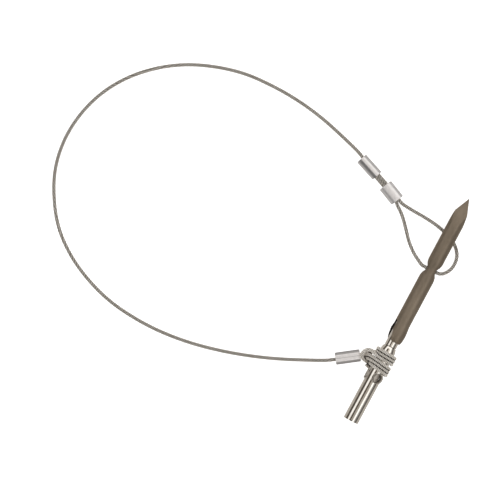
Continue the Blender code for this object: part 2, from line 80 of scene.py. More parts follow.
def aimCamera():
    made = bpy.data.cameras.new("camera")
    made.lens = camera["lens"]
    made.sensor_width = camera["sensor"]
    eye = bpy.data.objects.new("camera", made)
    bpy.context.scene.collection.objects.link(eye)
    away = camera["seenWidth"] * camera["lens"] / camera["sensor"]
    eye.location = (*camera["centre"], shaft["height"] + away)
    eye.rotation_euler = (0, 0, math.radians(camera["turn"]))
    made.clip_end = camera["farthest"]
    bpy.context.scene.camera = eye


aimCamera()
print("camera aimed")


# short helpers for the nodes of a finish
def newMaterial(name):
    made = bpy.data.materials.new(name)
    made.use_nodes = True
    return made, made.node_tree, made.node_tree.nodes["Principled BSDF"]


def addNode(tree, kind, **settings):
    node = tree.nodes.new(kind)
    for key, value in settings.items():
        setattr(node, key, value)
    return node


def noise(tree, scale, detail=4, roughness=0.55, stretch=(1, 1, 1)):
    place = addNode(tree, "ShaderNodeTexCoord")
    mapping = addNode(tree, "ShaderNodeMapping")
    mapping.inputs["Scale"].default_value = stretch
    grain = addNode(tree, "ShaderNodeTexNoise")
    grain.inputs["Scale"].default_value = scale
    grain.inputs["Detail"].default_value = detail
    grain.inputs["Roughness"].default_value = roughness
    tree.links.new(place.outputs["Object"], mapping.inputs["Vector"])
    tree.links.new(mapping.outputs["Vector"], grain.inputs["Vector"])
    return grain.outputs["Fac"]


def ramp(tree, source, stops):
    node = addNode(tree, "ShaderNodeValToRGB")
    elements = node.color_ramp.elements
    while len(elements) < len(stops):
        elements.new(0.5)
    for element, (spot, colour) in zip(elements, stops):
        element.position = spot
        element.color = (*colour, 1)
    tree.links.new(source, node.inputs["Fac"])
    return node.outputs["Color"]


def tinted(tree, colour, tint):
    mix = addNode(tree, "ShaderNodeMix", data_type="RGBA", blend_type="MULTIPLY")
    mix.inputs["Factor"].default_value = 1.0
    tree.links.new(colour, mix.inputs["A"])
    tree.links.new(tint, mix.inputs["B"])
    return mix.outputs["Result"]


def spreadOf(tree, source, low, high):
    node = addNode(tree, "ShaderNodeMapRange")
    node.inputs["To Min"].default_value = low
    node.inputs["To Max"].default_value = high
    tree.links.new(source, node.inputs["Value"])
    return node.outputs["Result"]


def bump(tree, shader, source, depth, strength=1.0, under=None):
    node = addNode(tree, "ShaderNodeBump")
    node.inputs["Strength"].default_value = strength
    node.inputs["Distance"].default_value = depth
    tree.links.new(source, node.inputs["Height"])
    if under is not None:
        tree.links.new(under, node.inputs["Normal"])
    tree.links.new(node.outputs["Normal"], shader.inputs["Normal"])
    return node.outputs["Normal"]


satinHead = {
    "dark": (0.205, 0.165, 0.121),
    "light": (0.295, 0.240, 0.180),
    "roughness": (0.50, 0.60),
    "blastDepth": 0.012 * mm,
    "grindDepth": 0.010 * mm,
}


def makeSatinHead():
    # bead blasted steel with a brown tone, a little uneven
    made, tree, shader = newMaterial("satinHead")
    cloud = noise(tree, 160, 5, 0.6, (1, 0.35, 1))
    colour = ramp(tree, cloud, [(0.3, satinHead["dark"]), (0.7, satinHead["light"])])
    tree.links.new(colour, shader.inputs["Base Color"])
    shader.inputs["Metallic"].default_value = 0.85
    tree.links.new(spreadOf(tree, cloud, *satinHead["roughness"]), shader.inputs["Roughness"])
    fine = bump(tree, shader, noise(tree, 9000, 2), satinHead["blastDepth"], 0.5)
    bump(tree, shader, noise(tree, 1400, 3, 0.5, (1, 0.1, 1)), satinHead["grindDepth"], 0.4, fine)
    return made


wornEdge = {
    "shade": (0.20, 0.17, 0.13),
    "colour": (0.36, 0.32, 0.26),
    "roughness": 0.36,
}


def makeWornEdge():
    # edges rubbed back to bare steel
    made, tree, shader = newMaterial("wornEdge")
    colour = ramp(tree, noise(tree, 900, 3), [(0.35, wornEdge["shade"]), (0.75, wornEdge["colour"])])
    tree.links.new(colour, shader.inputs["Base Color"])
    shader.inputs["Metallic"].default_value = 0.95
    shader.inputs["Roughness"].default_value = wornEdge["roughness"]
    return made


brightSteel = {
    "colour": (0.74, 0.70, 0.64),
    "shade": (0.64, 0.60, 0.54),
    "roughness": (0.07, 0.15),
    "lineDepth": 0.0015 * mm,
}


def makeBrightSteel():
    made, tree, shader = newMaterial("brightSteel")
    smudge = noise(tree, 260, 5, 0.62)
    colour = ramp(tree, smudge, [(0.35, brightSteel["shade"]), (0.65, brightSteel["colour"])])
    tree.links.new(colour, shader.inputs["Base Color"])
    shader.inputs["Metallic"].default_value = 1.0
    tree.links.new(spreadOf(tree, smudge, *brightSteel["roughness"]), shader.inputs["Roughness"])
    # fine polishing lines round the bar
    bump(tree, shader, noise(tree, 1600, 2, 0.5, (0.06, 1, 0.06)), brightSteel["lineDepth"], 0.35)
    return made


boreSteel = {
    "shade": (0.30, 0.27, 0.235),
    "colour": (0.48, 0.44, 0.385),
    "roughness": 0.42,
}


def makeBoreSteel():
    # inside the socket and on the bosses, where the polish stops
    made, tree, shader = newMaterial("boreSteel")
    colour = ramp(tree, noise(tree, 700, 4), [(0.3, boreSteel["shade"]), (0.7, boreSteel["colour"])])
    tree.links.new(colour, shader.inputs["Base Color"])
    shader.inputs["Metallic"].default_value = 0.9
    shader.inputs["Roughness"].default_value = boreSteel["roughness"]
    return made


shankSteel = {
    "shade": (0.42, 0.38, 0.33),
    "colour": (0.62, 0.575, 0.51),
    "roughness": 0.5,
    "lineDepth": 0.02 * mm,
}


def makeShankSteel():
    # the pin's shank, left as it came off the lathe
    made, tree, shader = newMaterial("shankSteel")
    turnedLines = noise(tree, 2400, 3, 0.6, (0.05, 1, 0.05))
    colour = ramp(tree, turnedLines, [(0.35, shankSteel["shade"]), (0.7, shankSteel["colour"])])
    tree.links.new(colour, shader.inputs["Base Color"])
    shader.inputs["Metallic"].default_value = 0.7
    shader.inputs["Roughness"].default_value = shankSteel["roughness"]
    bump(tree, shader, turnedLines, shankSteel["lineDepth"], 0.6)
    return made


ropeSteel = {
    "freeMetallic": 0.45,
    "wrapMetallic": 0.15,      # duller where it is wound and handled
    # crown is the bare tone; flank and groove are painted shade tones
    "crown": (0.96, 0.915, 0.85),
    "flank": (0.44, 0.40, 0.35),
    "groove": (0.03, 0.024, 0.018),
    "roughness": (0.30, 0.70),
}


def makeRopeSteel(name, metallic):
    # painted shade: bright on the crowns of the strands, darker down their flanks and near black between them
    made, tree, shader = newMaterial(name)
    depth = addNode(tree, "ShaderNodeAttribute", attribute_name="groove").outputs["Fac"]
    colour = ramp(tree, depth, [
        (0.04, ropeSteel["crown"]),
        (0.21, ropeSteel["flank"]),
        (0.40, ropeSteel["groove"]),
    ])
    tint = ramp(tree, noise(tree, 420, 4), [(0.3, (0.78, 0.76, 0.72)), (0.7, (1, 1, 1))])
    tree.links.new(tinted(tree, colour, tint), shader.inputs["Base Color"])
    shader.inputs["Metallic"].default_value = metallic
    tree.links.new(spreadOf(tree, depth, *ropeSteel["roughness"]), shader.inputs["Roughness"])
    return made


pressedSleeve = {
    "roughness": (0.26, 0.40),
    "ribStep": 0.42 * mm,
    "ribDepth": 0.012 * mm,
    "grainDepth": 0.006 * mm,
    "warmth": (1, 0.962, 0.94),
    # painted highlights and painted shade bands across each sleeve, as tones from one side to the other
    "longSplice": [
        (0.0, 0.62), (0.07, 0.46), (0.13, 0.80), (0.17, 0.46), (0.22, 0.80), (0.30, 0.98),
        (0.55, 1.0), (0.60, 0.45), (0.68, 0.22), (0.80, 0.28), (0.86, 0.50), (0.94, 0.66), (1.0, 0.46),
    ],
    "shortSplice": [
        (0.0, 0.56), (0.08, 0.74), (0.14, 0.56), (0.20, 0.88), (0.30, 1.0), (0.44, 0.92),
        (0.47, 1.0), (0.68, 0.96), (0.74, 0.62), (0.80, 0.44), (0.85, 0.58), (0.92, 0.70), (1.0, 0.48),
    ],
    "hexSleeve": [
        (0.0, 0.14), (0.06, 0.36), (0.19, 0.50), (0.24, 1.0), (0.44, 1.0), (0.49, 0.66),
        (0.54, 1.0), (0.75, 1.0), (0.80, 0.42), (0.94, 0.32), (1.0, 0.12),
    ],
}


def makePressedSleeve(name):
    made, tree, shader = newMaterial(name + "Alloy")
    across = addNode(tree, "ShaderNodeAttribute", attribute_name="across").outputs["Fac"]
    warmth = pressedSleeve["warmth"]
    # the tones paint highlight and shade bands across the sleeve, fixed to it
    tones = [(spot, [tone * share for share in warmth]) for spot, tone in pressedSleeve[name]]
    colour = ramp(tree, across, tones)
    cloud = noise(tree, 900, 5, 0.6)
    tint = ramp(tree, cloud, [(0.3, (0.86, 0.85, 0.845)), (0.7, (1, 1, 1))])
    tree.links.new(tinted(tree, colour, tint), shader.inputs["Base Color"])
    shader.inputs["Metallic"].default_value = 0.35
    tree.links.new(spreadOf(tree, cloud, *pressedSleeve["roughness"]), shader.inputs["Roughness"])
    # faint marks from the press, round the sleeve
    place = addNode(tree, "ShaderNodeAttribute", attribute_name="along").outputs["Fac"]
    line = addNode(tree, "ShaderNodeMath", operation="MULTIPLY")
    line.inputs[1].default_value = math.tau / pressedSleeve["ribStep"]
    tree.links.new(place, line.inputs[0])
    wave = addNode(tree, "ShaderNodeMath", operation="SINE")
    tree.links.new(line.outputs[0], wave.inputs[0])
    ribs = bump(tree, shader, wave.outputs[0], pressedSleeve["ribDepth"], 0.5)
    bump(tree, shader, noise(tree, 2600, 3), pressedSleeve["grainDepth"], 0.5, ribs)
    return made


slotShade = {
    "shade": (0.014, 0.012, 0.010),
    "colour": (0.045, 0.038, 0.03),
    "roughness": 0.6,
}


def makeSlotShade():
    # near-black painted shade in the slot, the cross hole and the gap at the pin's neck
    made, tree, shader = newMaterial("slotShade")
    colour = ramp(tree, noise(tree, 800, 3), [(0.3, slotShade["shade"]), (0.7, slotShade["colour"])])
    tree.links.new(colour, shader.inputs["Base Color"])
    shader.inputs["Metallic"].default_value = 0.5
    shader.inputs["Roughness"].default_value = slotShade["roughness"]
    return made


finish = {
    "satinHead": makeSatinHead(),
    "wornEdge": makeWornEdge(),
    "brightSteel": makeBrightSteel(),
    "boreSteel": makeBoreSteel(),
    "shankSteel": makeShankSteel(),
    "ropeSteel": makeRopeSteel("ropeSteel", ropeSteel["freeMetallic"]),
    "wrapSteel": makeRopeSteel("wrapSteel", ropeSteel["wrapMetallic"]),
    "slotShade": makeSlotShade(),
    "longSplice": makePressedSleeve("longSplice"),
    "shortSplice": makePressedSleeve("shortSplice"),
    "hexSleeve": makePressedSleeve("hexSleeve"),
}
print("finishes mixed")


# a smooth line through given points
def smoothCurve(points, samples=16):
    pts = [Vector(p) for p in points]
    pts = [2 * pts[0] - pts[1]] + pts + [2 * pts[-1] - pts[-2]]
    found = []
    for p0, p1, p2, p3 in zip(pts, pts[1:], pts[2:], pts[3:]):
        t1 = math.sqrt((p1 - p0).length)
        t2 = t1 + math.sqrt((p2 - p1).length)
        t3 = t2 + math.sqrt((p3 - p2).length)
        for i in range(samples):
            t = t1 + (t2 - t1) * i / samples
            a1 = p0.lerp(p1, t / t1)
            a2 = p1.lerp(p2, (t - t1) / (t2 - t1))
            a3 = p2.lerp(p3, (t - t2) / (t3 - t2))
            b1 = a1.lerp(a2, t / t2)
            b2 = a2.lerp(a3, (t - t1) / (t3 - t1))
            found.append(b1.lerp(b2, (t - t1) / (t2 - t1)))
    return np.array(found + [pts[-2]])


def evenSteps(line, step):
    along = np.concatenate([[0], np.cumsum(np.linalg.norm(np.diff(line, axis=0), axis=1))])
    at = np.linspace(0, along[-1], max(3, round(along[-1] / step)))
    return np.stack([np.interp(at, along, line[:, k]) for k in range(3)], axis=1), at


def unit(rows):
    return rows / np.linalg.norm(rows, axis=1)[:, None]


def carriedFrame(line):
    # tangents, and sides that are carried along without twisting
    tangent = unit(np.gradient(line, axis=0))
    side = np.zeros_like(tangent)
    first = np.cross(tangent[0], (0, 0, 1))
    side[0] = first / np.linalg.norm(first)
    for i in range(1, len(line)):
        carried = side[i - 1] - tangent[i] * (side[i - 1] @ tangent[i])
        side[i] = carried / np.linalg.norm(carried)
    return tangent, side, np.cross(tangent, side)


rope = {
    "radius": 1.0 * mm,
    "crownRadius": 1.13 * mm,  # over the crowns of the strands
    "strands": 6,
    "strandSides": 12,
    "wireDip": 0.17,          # depth of the grooves between wires, as a share of a strand
    "layLength": 13.5 * mm,   # one turn of a strand round the rope
    "wireLay": 5.6 * mm,      # one turn of a wire round its strand, the other way
    "ringStep": 0.55 * mm,
    "coreSides": 6,
    "coreSize": 1.05,          # as a share of a strand
    "grooveReach": 0.45,       # how far in the darkest of a groove lies, as a share of the radius
    # how the painted shade between touching ropes and against the bar is spread
    "shadeReach": 0.62 * mm,
    "shadeFromBar": 1.1 * mm,
    "shadePast": 3.2 * mm,      # along the rope, nearer than this is the same wrap
    "shadeBatch": 4000,
    "grooveShare": 0.42,
    "shadeShare": 0.85,
}


def tubeFaces(rings, sides, first):
    faces = []
    for i in range(rings - 1):
        low = first + i * sides
        for j in range(sides):
            k = (j + 1) % sides
            faces.append((low + j, low + k, low + sides + k, low + sides + j))
    last = first + (rings - 1) * sides
    faces.append(tuple(first + j for j in reversed(range(sides))))
    faces.append(tuple(last + j for j in range(sides)))
    return faces


laidLines = {}


def layRope(name, points, steel="ropeSteel"):
    line, at = evenSteps(smoothCurve(points), rope["ringStep"])
    tangent, side, up = carriedFrame(line)
    radius = rope["crownRadius"]
    strand = radius / 3
    swing = 2 * strand
    rings, sides = len(line), rope["strandSides"]
    around = np.arange(sides) * math.tau / sides
    reach = strand * (1 - rope["wireDip"] * (np.arange(sides) % 2))
    verts, groove, faces = [], [], []
    for k in range(rope["strands"]):
        lay = math.tau * (at / rope["layLength"] + k / rope["strands"])
        out = np.cos(lay)[:, None] * side + np.sin(lay)[:, None] * up
        sweep = -np.sin(lay)[:, None] * side + np.cos(lay)[:, None] * up
        heading = unit(tangent + sweep * math.tau * swing / rope["layLength"])
        across = np.cross(heading, out)
        angle = around[None, :] - (math.tau * at / rope["wireLay"])[:, None]
        ring = np.cos(angle)[..., None] * out[:, None] + np.sin(angle)[..., None] * across[:, None]
        spots = (line + swing * out)[:, None] + ring * reach[None, :, None]
        # groove: painted shade, deeper the farther in towards the rope's centre
        depth = 1 - np.linalg.norm(spots - line[:, None], axis=2) / radius
        faces += tubeFaces(rings, sides, len(verts))
        verts += spots.reshape(-1, 3).tolist()
        groove += np.clip(depth / rope["grooveReach"], 0, 1).ravel().tolist()
    # the core strand, painted all in the darkest groove shade
    coreSides = rope["coreSides"]
    for ring in range(rings):
        for j in range(coreSides):
            angle = math.tau * j / coreSides
            out = math.cos(angle) * side[ring] + math.sin(angle) * up[ring]
            verts.append((line[ring] + rope["coreSize"] * strand * out).tolist())
    faces += tubeFaces(rings, coreSides, len(groove))
    groove += [1.0] * (rings * coreSides)
    mesh = bpy.data.meshes.new(name)
    mesh.from_pydata(verts, [], faces)
    mesh.shade_smooth()
    mesh.set_sharp_from_angle(angle=math.radians(60))
    mesh.attributes.new("groove", "FLOAT", "POINT").data.foreach_set("value", groove)
    mesh.materials.append(finish[steel])
    made = bpy.data.objects.new(name, mesh)
    bpy.context.scene.collection.objects.link(made)
    laidLines[name] = line
    return made, line


# where the sleeves lie, and the routes between them
cableZ = rope["radius"] + 0.04 * mm
pairOffset = rope["radius"] + 0.03 * mm
sleeves = {
    "shortSplice": {
        "node": "splice_sleeve_short",
        "ends": ((-0.0484, 0.0592), (-0.0376, 0.0546)),
        "halfWidth": 4.4 * mm,
        "halfHeight": 2.8 * mm,
    },
    "longSplice": {
        "node": "splice_sleeve_long",
        "ends": ((-0.0687, 0.0667), (-0.0554, 0.0619)),
        "halfWidth": 3.6 * mm,
        "halfHeight": 3.1 * mm,
    },
    "hexSleeve": {
        "node": "hitch_sleeve",
        "ends": ((-0.0255, -0.0475), (-0.0133, -0.0386)),
        "halfWidth": 3.33 * mm,
        "halfHeight": 3.33 * mm,
        "pair": (0.4 * mm, 1.15 * mm),
    },
}


def sleeveFrame(name):
    low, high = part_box(sleeves[name]["node"])
    first, second = (Vector((*end, (low.z + high.z) / 2)) for end in sleeves[name]["ends"])
    along = (second - first).normalized()
    across = along.cross(Vector((0, 0, 1)))
    turn = Matrix((across, along, Vector((0, 0, 1)))).transposed().to_4x4()
    return Matrix.Translation((first + second) / 2) @ turn, (second - first).length


def inSleeve(name, share, across, up=0):
    place, length = sleeveFrame(name)
    return place @ Vector((across, length * (share - 0.5), up))


leaderRoute = (
    (-0.0723, 0.0693, 0.0024),
    (-0.0838, 0.0727, 0.0013),
    (-0.1014, 0.0770, cableZ),
    (-0.1193, 0.0795, cableZ),
    (-0.1374, 0.0800, cableZ),
    (-0.1555, 0.0785, cableZ),
    (-0.1730, 0.0738, cableZ),
    (-0.1895, 0.0664, cableZ),
    (-0.2043, 0.0559, cableZ),
    (-0.2167, 0.0427, cableZ),
    (-0.2259, 0.0272, cableZ),
    (-0.2312, 0.0099, cableZ),
    (-0.2324, -0.0081, cableZ),
    (-0.2291, -0.0259, cableZ),
    (-0.2212, -0.0423, cableZ),
    (-0.2103, -0.0566, cableZ),
    (-0.1961, -0.0678, cableZ),
    (-0.1799, -0.0758, cableZ),
    (-0.1626, -0.0810, cableZ),
    (-0.1446, -0.0831, cableZ),
    (-0.1264, -0.0829, cableZ),
    (-0.1085, -0.0806, cableZ),
    (-0.0909, -0.0765, cableZ),
    (-0.0736, -0.0710, cableZ),
    (-0.0568, -0.0643, cableZ),
    (-0.0405, -0.0565, 0.0014),
    (-0.0298, -0.0509, 0.0020),
)

loopRoute = (
    (-0.0346, 0.0544, 0.0026),
    (-0.0281, 0.0537, 0.0018),
    (-0.0188, 0.0534, cableZ),
    (-0.0105, 0.0527, cableZ),
    (-0.0045, 0.0515, cableZ),
    (0.0020, 0.0493, cableZ),
    (0.0069, 0.0462, 0.0013),
    (0.0099, 0.0423, 0.0020),
    (0.0110, 0.0380, 0.0033),
    (0.0106, 0.0336, 0.0048),
    (0.0088, 0.0299, 0.0062),
    (0.0064, 0.0277, 0.0070),
)
loopReturn = (
    (-0.0064, 0.0271, 0.0070),
    (-0.0097, 0.0287, 0.0062),
    (-0.0134, 0.0308, 0.0050),
    (-0.0168, 0.0334, 0.0037),
    (-0.0200, 0.0363, 0.0026),
    (-0.0230, 0.0397, 0.0018),
    (-0.0259, 0.0430, 0.0014),
    (-0.0291, 0.0464, 0.0014),
    (-0.0325, 0.0494, 0.0019),
    (-0.0360, 0.0518, 0.0025),
)

waist = {
    "fromTail": 49.0 * mm,
    "depth": 1.15 * mm,
    "halfLength": 6.3 * mm,
}


def makeLeader():
    spread, lift = sleeves["hexSleeve"]["pair"]
    route = [inSleeve("longSplice", 0.3, -pairOffset), inSleeve("longSplice", 0, -pairOffset)]
    route += [Vector(p) for p in leaderRoute]
    route += [inSleeve("hexSleeve", share, spread, -lift) for share in (0, 0.25, 0.5)]
    made, line = layRope("leader", route)
    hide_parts("leader_cable", "leader_head_end")
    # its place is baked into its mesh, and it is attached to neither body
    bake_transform(made)


def makeEyeLoop():
    waistY = shaft["tail"] + waist["fromTail"]
    halfHole = shaft["barRadius"] - waist["depth"]
    route = [inSleeve("longSplice", share, -pairOffset) for share in (0.32, 0.6, 1)]
    route += [inSleeve("shortSplice", share, -pairOffset) for share in (0, 0.5, 1)]
    route += [Vector(p) for p in loopRoute]
    route += [Vector((x, waistY, shaft["height"])) for x in (halfHole, 0, -halfHole)]
    route += [Vector(p) for p in loopReturn]
    route += [inSleeve("shortSplice", share, pairOffset) for share in (1, 0.5, 0)]
    route += [inSleeve("longSplice", share, pairOffset) for share in (1, 0.5, 0.04)]
    made, line = layRope("eyeLoop", route)
    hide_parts("eye_loop")
    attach(made, "head")


makeLeader()
makeEyeLoop()
print("leader and eye loop laid")


# the hitch round the adapter
coil = {
    "radius": shaft["barRadius"] + 0.2 * mm + rope["radius"],
    "fromNose": 3.9 * mm,
    "pitch": 2.03 * mm,
    "lean": 1.2 * mm,
    "leanFrom": 3,
    "step": 15,      # degrees between points
    "rearEnd": 0.9 * mm,
    "crossing": 1.9 * mm,
    "frontEnd": 0.6 * mm,
}


def onCoil(degrees, behind):
    # a point on the wound rope's centre line, this far behind the first wrap
    angle = math.radians(degrees)
    y = shaft["nose"] - coil["fromNose"] - behind
    return Vector((coil["radius"] * math.cos(angle), y, shaft["height"] + coil["radius"] * math.sin(angle)))


def behindOf(band, degrees):
    # the wraps nearer the open end lean back on the side away from the leader
    lean = coil["lean"] * (1 + math.cos(math.radians(degrees))) / 2 if band >= coil["leanFrom"] else 0
    return coil["pitch"] * (band + (180 - degrees) / 360) + lean


def overTop(band, start=180):
    # from the leader's side over the top, as the band with this number
    return [onCoil(degrees, behindOf(band, degrees)) for degrees in range(start, -1, -coil["step"])]


def underneath(behindRight, behindLeft, end=-165):
    found = []
    for degrees in range(-coil["step"], end - 1, -coil["step"]):
        share = -degrees / 180
        found.append(onCoil(degrees, behindRight + (behindLeft - behindRight) * share))
    return found


def makeHitchRear():
    # out of the sleeve, over as the fourth wrap, under, over as the sixth, and cut off
    spread, lift = sleeves["hexSleeve"]["pair"]
    route = [inSleeve("hexSleeve", share, -spread, lift) for share in (0.1, 0.5, 1.0)]
    route += [Vector(p) for p in (
        (-0.0112, -0.0365, 0.0054),
        (-0.0090, -0.0358, 0.0074),
        (-0.0067, -0.0357, 0.0098),
    )]
    route += overTop(3, 120)
    route += underneath(behindOf(3, 0), behindOf(5, 180))
    route += overTop(5)
    route += underneath(behindOf(5, 0), behindOf(5, 0) + coil["rearEnd"], -75)
    route += [Vector(p) for p in ((-0.0040, -0.0426, 0.0013), (-0.0074, -0.0417, 0.0019))]
    made, _ = layRope("hitchRear", route, "wrapSteel")
    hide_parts("hitch_leg_upper")
    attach(made, "adapter")


def makeHitchFront():
    # over as the fifth wrap, under, up round both strands, then three wraps to the nose
    spread, lift = sleeves["hexSleeve"]["pair"]
    route = [inSleeve("hexSleeve", share, spread, -lift) for share in (0.55, 0.75, 1.0)]
    route += [Vector(p) for p in (
        (-0.0110, -0.0378, 0.0030),
        (-0.0091, -0.0377, 0.0058),
        (-0.0069, -0.0377, 0.0092),
    )]
    route += overTop(4, 120)
    route += underneath(behindOf(4, 0), behindOf(4, 0) + coil["crossing"], -75)
    route += [Vector(p) for p in (
        (-0.0045, -0.0408, 0.0012),
        (-0.0076, -0.0400, 0.0024),
        (-0.0102, -0.0397, 0.0048),
        (-0.0121, -0.0389, 0.0073),
        (-0.0129, -0.0371, 0.0087),
        (-0.0127, -0.0352, 0.0090),
        (-0.0114, -0.0335, 0.0089),
        (-0.0095, -0.0327, 0.0092),
        (-0.0075, -0.0330, 0.0103),
    )]
    route += overTop(2, 120)
    route += underneath(behindOf(2, 0), behindOf(1, 180))
    route += overTop(1)
    route += underneath(behindOf(1, 0), behindOf(0, 180))
    route += overTop(0)
    route += underneath(behindOf(0, 0), behindOf(0, 0) + coil["frontEnd"], -75)
    route += [Vector(p) for p in (
        (-0.0046, -0.0318, 0.0013),
        (-0.0068, -0.0326, 0.0030),
        (-0.0084, -0.0331, 0.0053),
        (-0.0088, -0.0341, 0.0060),
        (-0.0080, -0.0352, 0.0054),
    )]
    made, _ = layRope("hitchFront", route, "wrapSteel")
    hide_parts("hitch_coil", "hitch_bridge", "hitch_leg_lower")
    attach(made, "adapter")


def makeHitchTuck():
    # the strand that lies low in the knot, under the legs and the bridge; it fills gaps in the knot, and its
    # painted shade stands for the shadow seen between the strands
    route = [Vector(p) for p in (
        (-0.0128, -0.0372, 0.0036),
        (-0.0118, -0.0356, 0.0040),
        (-0.0105, -0.0347, 0.0040),
        (-0.0090, -0.0350, 0.0032),
        (-0.0083, -0.0368, 0.0026),
        (-0.0074, -0.0388, 0.0022),
        (-0.0064, -0.0404, 0.0016),
    )]
    made, _ = layRope("hitchTuck", route, "wrapSteel")
    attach(made, "adapter")


makeHitchRear()
makeHitchFront()
makeHitchTuck()


def shadeWhereTouching(name):
    # painted shade: darker in the valleys between wraps, where ropes touch, and in against the adapter
    made = bpy.data.objects[name]
    spots = np.array([v.co for v in made.data.vertices])
    own = laidLines[name]
    shade = np.zeros(len(spots))
    others = np.concatenate([line for key, line in laidLines.items() if key != name])
    batch = rope["shadeBatch"]
    for start in range(0, len(spots), batch):
        part = spots[start:start + batch]
        toOthers = np.linalg.norm(part[:, None] - others[None], axis=2).min(axis=1)
        toOwn = np.linalg.norm(part[:, None] - own[None], axis=2)
        nearest = toOwn.argmin(axis=1)
        away = np.abs(np.arange(len(own))[None] - nearest[:, None]) * rope["ringStep"] > rope["shadePast"]
        toOwn = np.where(away, toOwn, 1).min(axis=1)
        gap = np.minimum(toOthers, toOwn) - rope["radius"]
        shade[start:start + batch] = np.clip(1 - gap / rope["shadeReach"], 0, 1)
    fromAxis = np.hypot(spots[:, 0], spots[:, 2] - shaft["height"]) - shaft["barRadius"]
    shade = np.maximum(shade, np.clip(1 - fromAxis / rope["shadeFromBar"], 0, 1))
    groove = made.data.attributes["groove"].data
    depth = np.zeros(len(spots))
    groove.foreach_get("value", depth)
    groove.foreach_set("value", np.clip(rope["grooveShare"] * depth + rope["shadeShare"] * shade, 0, 1))


for ropeName in ("hitchRear", "hitchFront", "hitchTuck"):
    shadeWhereTouching(ropeName)
print("hitch wound")


# turned and cut metal
def meshObject(name, bm, materials, sharpAngle=32):
    bmesh.ops.recalc_face_normals(bm, faces=bm.faces)
    mesh = bpy.data.meshes.new(name)
    bm.to_mesh(mesh)
    bm.free()
    mesh.shade_smooth()
    mesh.set_sharp_from_angle(angle=math.radians(sharpAngle))
    for key in materials:
        mesh.materials.append(finish[key])
    made = bpy.data.objects.new(name, mesh)
    bpy.context.scene.collection.objects.link(made)
    return made


def joinRings(bm, rings, material=0):
    for first, second in zip(rings, rings[1:]):
        count = max(len(first), len(second))
        for i in range(count):
            j = (i + 1) % count
            if len(first) == 1:
                face = bm.faces.new((first[0], second[i], second[j]))
            elif len(second) == 1:
                face = bm.faces.new((first[i], first[j], second[0]))
            else:
                face = bm.faces.new((first[i], first[j], second[j], second[i]))
            face.material_index = material


def turnedRings(bm, profile, segments):
    rings = []
    for y, radius in profile:
        if radius == 0:
            rings.append([bm.verts.new((0, y, 0))])
            continue
        ring = []
        for i in range(segments):
            angle = math.tau * i / segments
            ring.append(bm.verts.new((radius * math.cos(angle), y, radius * math.sin(angle))))
        rings.append(ring)
    return rings


def turned(profile, segments=96, closed=False):
    bm = bmesh.new()
    rings = turnedRings(bm, profile, segments)
    if closed:
        rings.append(rings[0])
    joinRings(bm, rings)
    return bm


def prism(outline, depth, start=0.0):
    bm = bmesh.new()
    bottom = [bm.verts.new((x, y, start)) for x, y in outline]
    top = [bm.verts.new((x, y, depth)) for x, y in outline]
    joinRings(bm, [bottom, top])
    bm.faces.new(bottom)
    bm.faces.new(top)
    return bm


def ellipse(halfWidth, halfLength, steps):
    angles = [math.tau * i / steps for i in range(steps)]
    return [(halfWidth * math.cos(a), halfLength * math.sin(a)) for a in angles]


def radial(degrees, y, start=0.0):
    angle = math.radians(degrees)
    out = Vector((math.cos(angle), 0, math.sin(angle)))
    along = Vector((0, 1, 0))
    turn = Matrix((along.cross(out), along, out)).transposed().to_4x4()
    return Matrix.Translation(Vector((0, y, shaft["height"])) + out * start) @ turn


# unless told otherwise, a cut leaves near-black painted shade on its faces
def cutWith(target, bm, place, operation="DIFFERENCE", materials=("slotShade",)):
    tool = meshObject("tool", bm, materials)
    tool.matrix_world = place
    modifier = target.modifiers.new("cut", "BOOLEAN")
    modifier.operation = operation
    modifier.solver = "EXACT"
    modifier.material_mode = "TRANSFER"
    modifier.object = tool
    bpy.context.view_layer.update()
    depsgraph = bpy.context.evaluated_depsgraph_get()
    done = bpy.data.meshes.new_from_object(target.evaluated_get(depsgraph))
    target.modifiers.clear()
    old = target.data
    target.data = done
    done.name = target.name
    bpy.data.meshes.remove(old)
    bpy.data.objects.remove(tool)


def easeEdges(target, width, worn, sharpAngle=32):
    modifier = target.modifiers.new("easedEdges", "BEVEL")
    modifier.width = width
    modifier.segments = 2
    modifier.limit_method = "ANGLE"
    modifier.angle_limit = math.radians(sharpAngle)
    modifier.use_clamp_overlap = True
    modifier.material = worn
    modifier.harden_normals = True


head = {
    "length": shaft["point"] - shaft["tail"],
    "lip": 4.25 * mm,
    "flare": 0.57 * mm,
    "flareCrest": 6.0 * mm,
    "flareEnd": 13.0 * mm,
    "socketRadius": 3.99 * mm,
    "socketDepth": 27.7 * mm,
    "socketCone": 2 * mm,
    "facets": 3,
    "facetAngle": 100,
    "facetSlope": 0.235,
    "slotAngle": 167,
    "slotHalfWidth": 2.4 * mm,
    "slotMouth": 3.8 * mm,
    "slotMouthLength": 7.5 * mm,
    "slotLength": 13.3 * mm,
    "slotRoot": 1.2 * mm,
    "holeRadius": 1.5 * mm,
    "holeFlare": 1.3 * mm,
    "holeFlareDepth": 1.5 * mm,
    "holeSides": 48,
    "edge": 0.14 * mm,
}


def headProfile():
    crest = shaft["barRadius"] + head["flare"]
    profile = [(head["socketDepth"] + head["socketCone"], 0), (head["socketDepth"], head["socketRadius"])]
    profile += [(0, head["socketRadius"]), (0, head["lip"])]
    steps = 14
    for i in range(1, steps + 1):
        back = 1 - i / steps
        radius = head["lip"] + (crest - head["lip"]) * math.sqrt(1 - back * back)
        profile.append((head["flareCrest"] * (1 - back), radius))
    for i in range(1, steps + 1):
        share = i / steps
        height = head["flare"] * (1 + math.cos(math.pi * share)) / 2
        y = head["flareCrest"] + (head["flareEnd"] - head["flareCrest"]) * share
        profile.append((y, shaft["barRadius"] + height))
    steps = 24
    for i in range(steps + 1):
        share = 2 * i / steps - 1
        depth = waist["depth"] * (1 + math.cos(math.pi * share)) / 2
        profile.append((waist["fromTail"] + waist["halfLength"] * share, shaft["barRadius"] - depth))
    end = head["length"] + shaft["barRadius"]
    return profile + [(end, shaft["barRadius"]), (end, 0)]


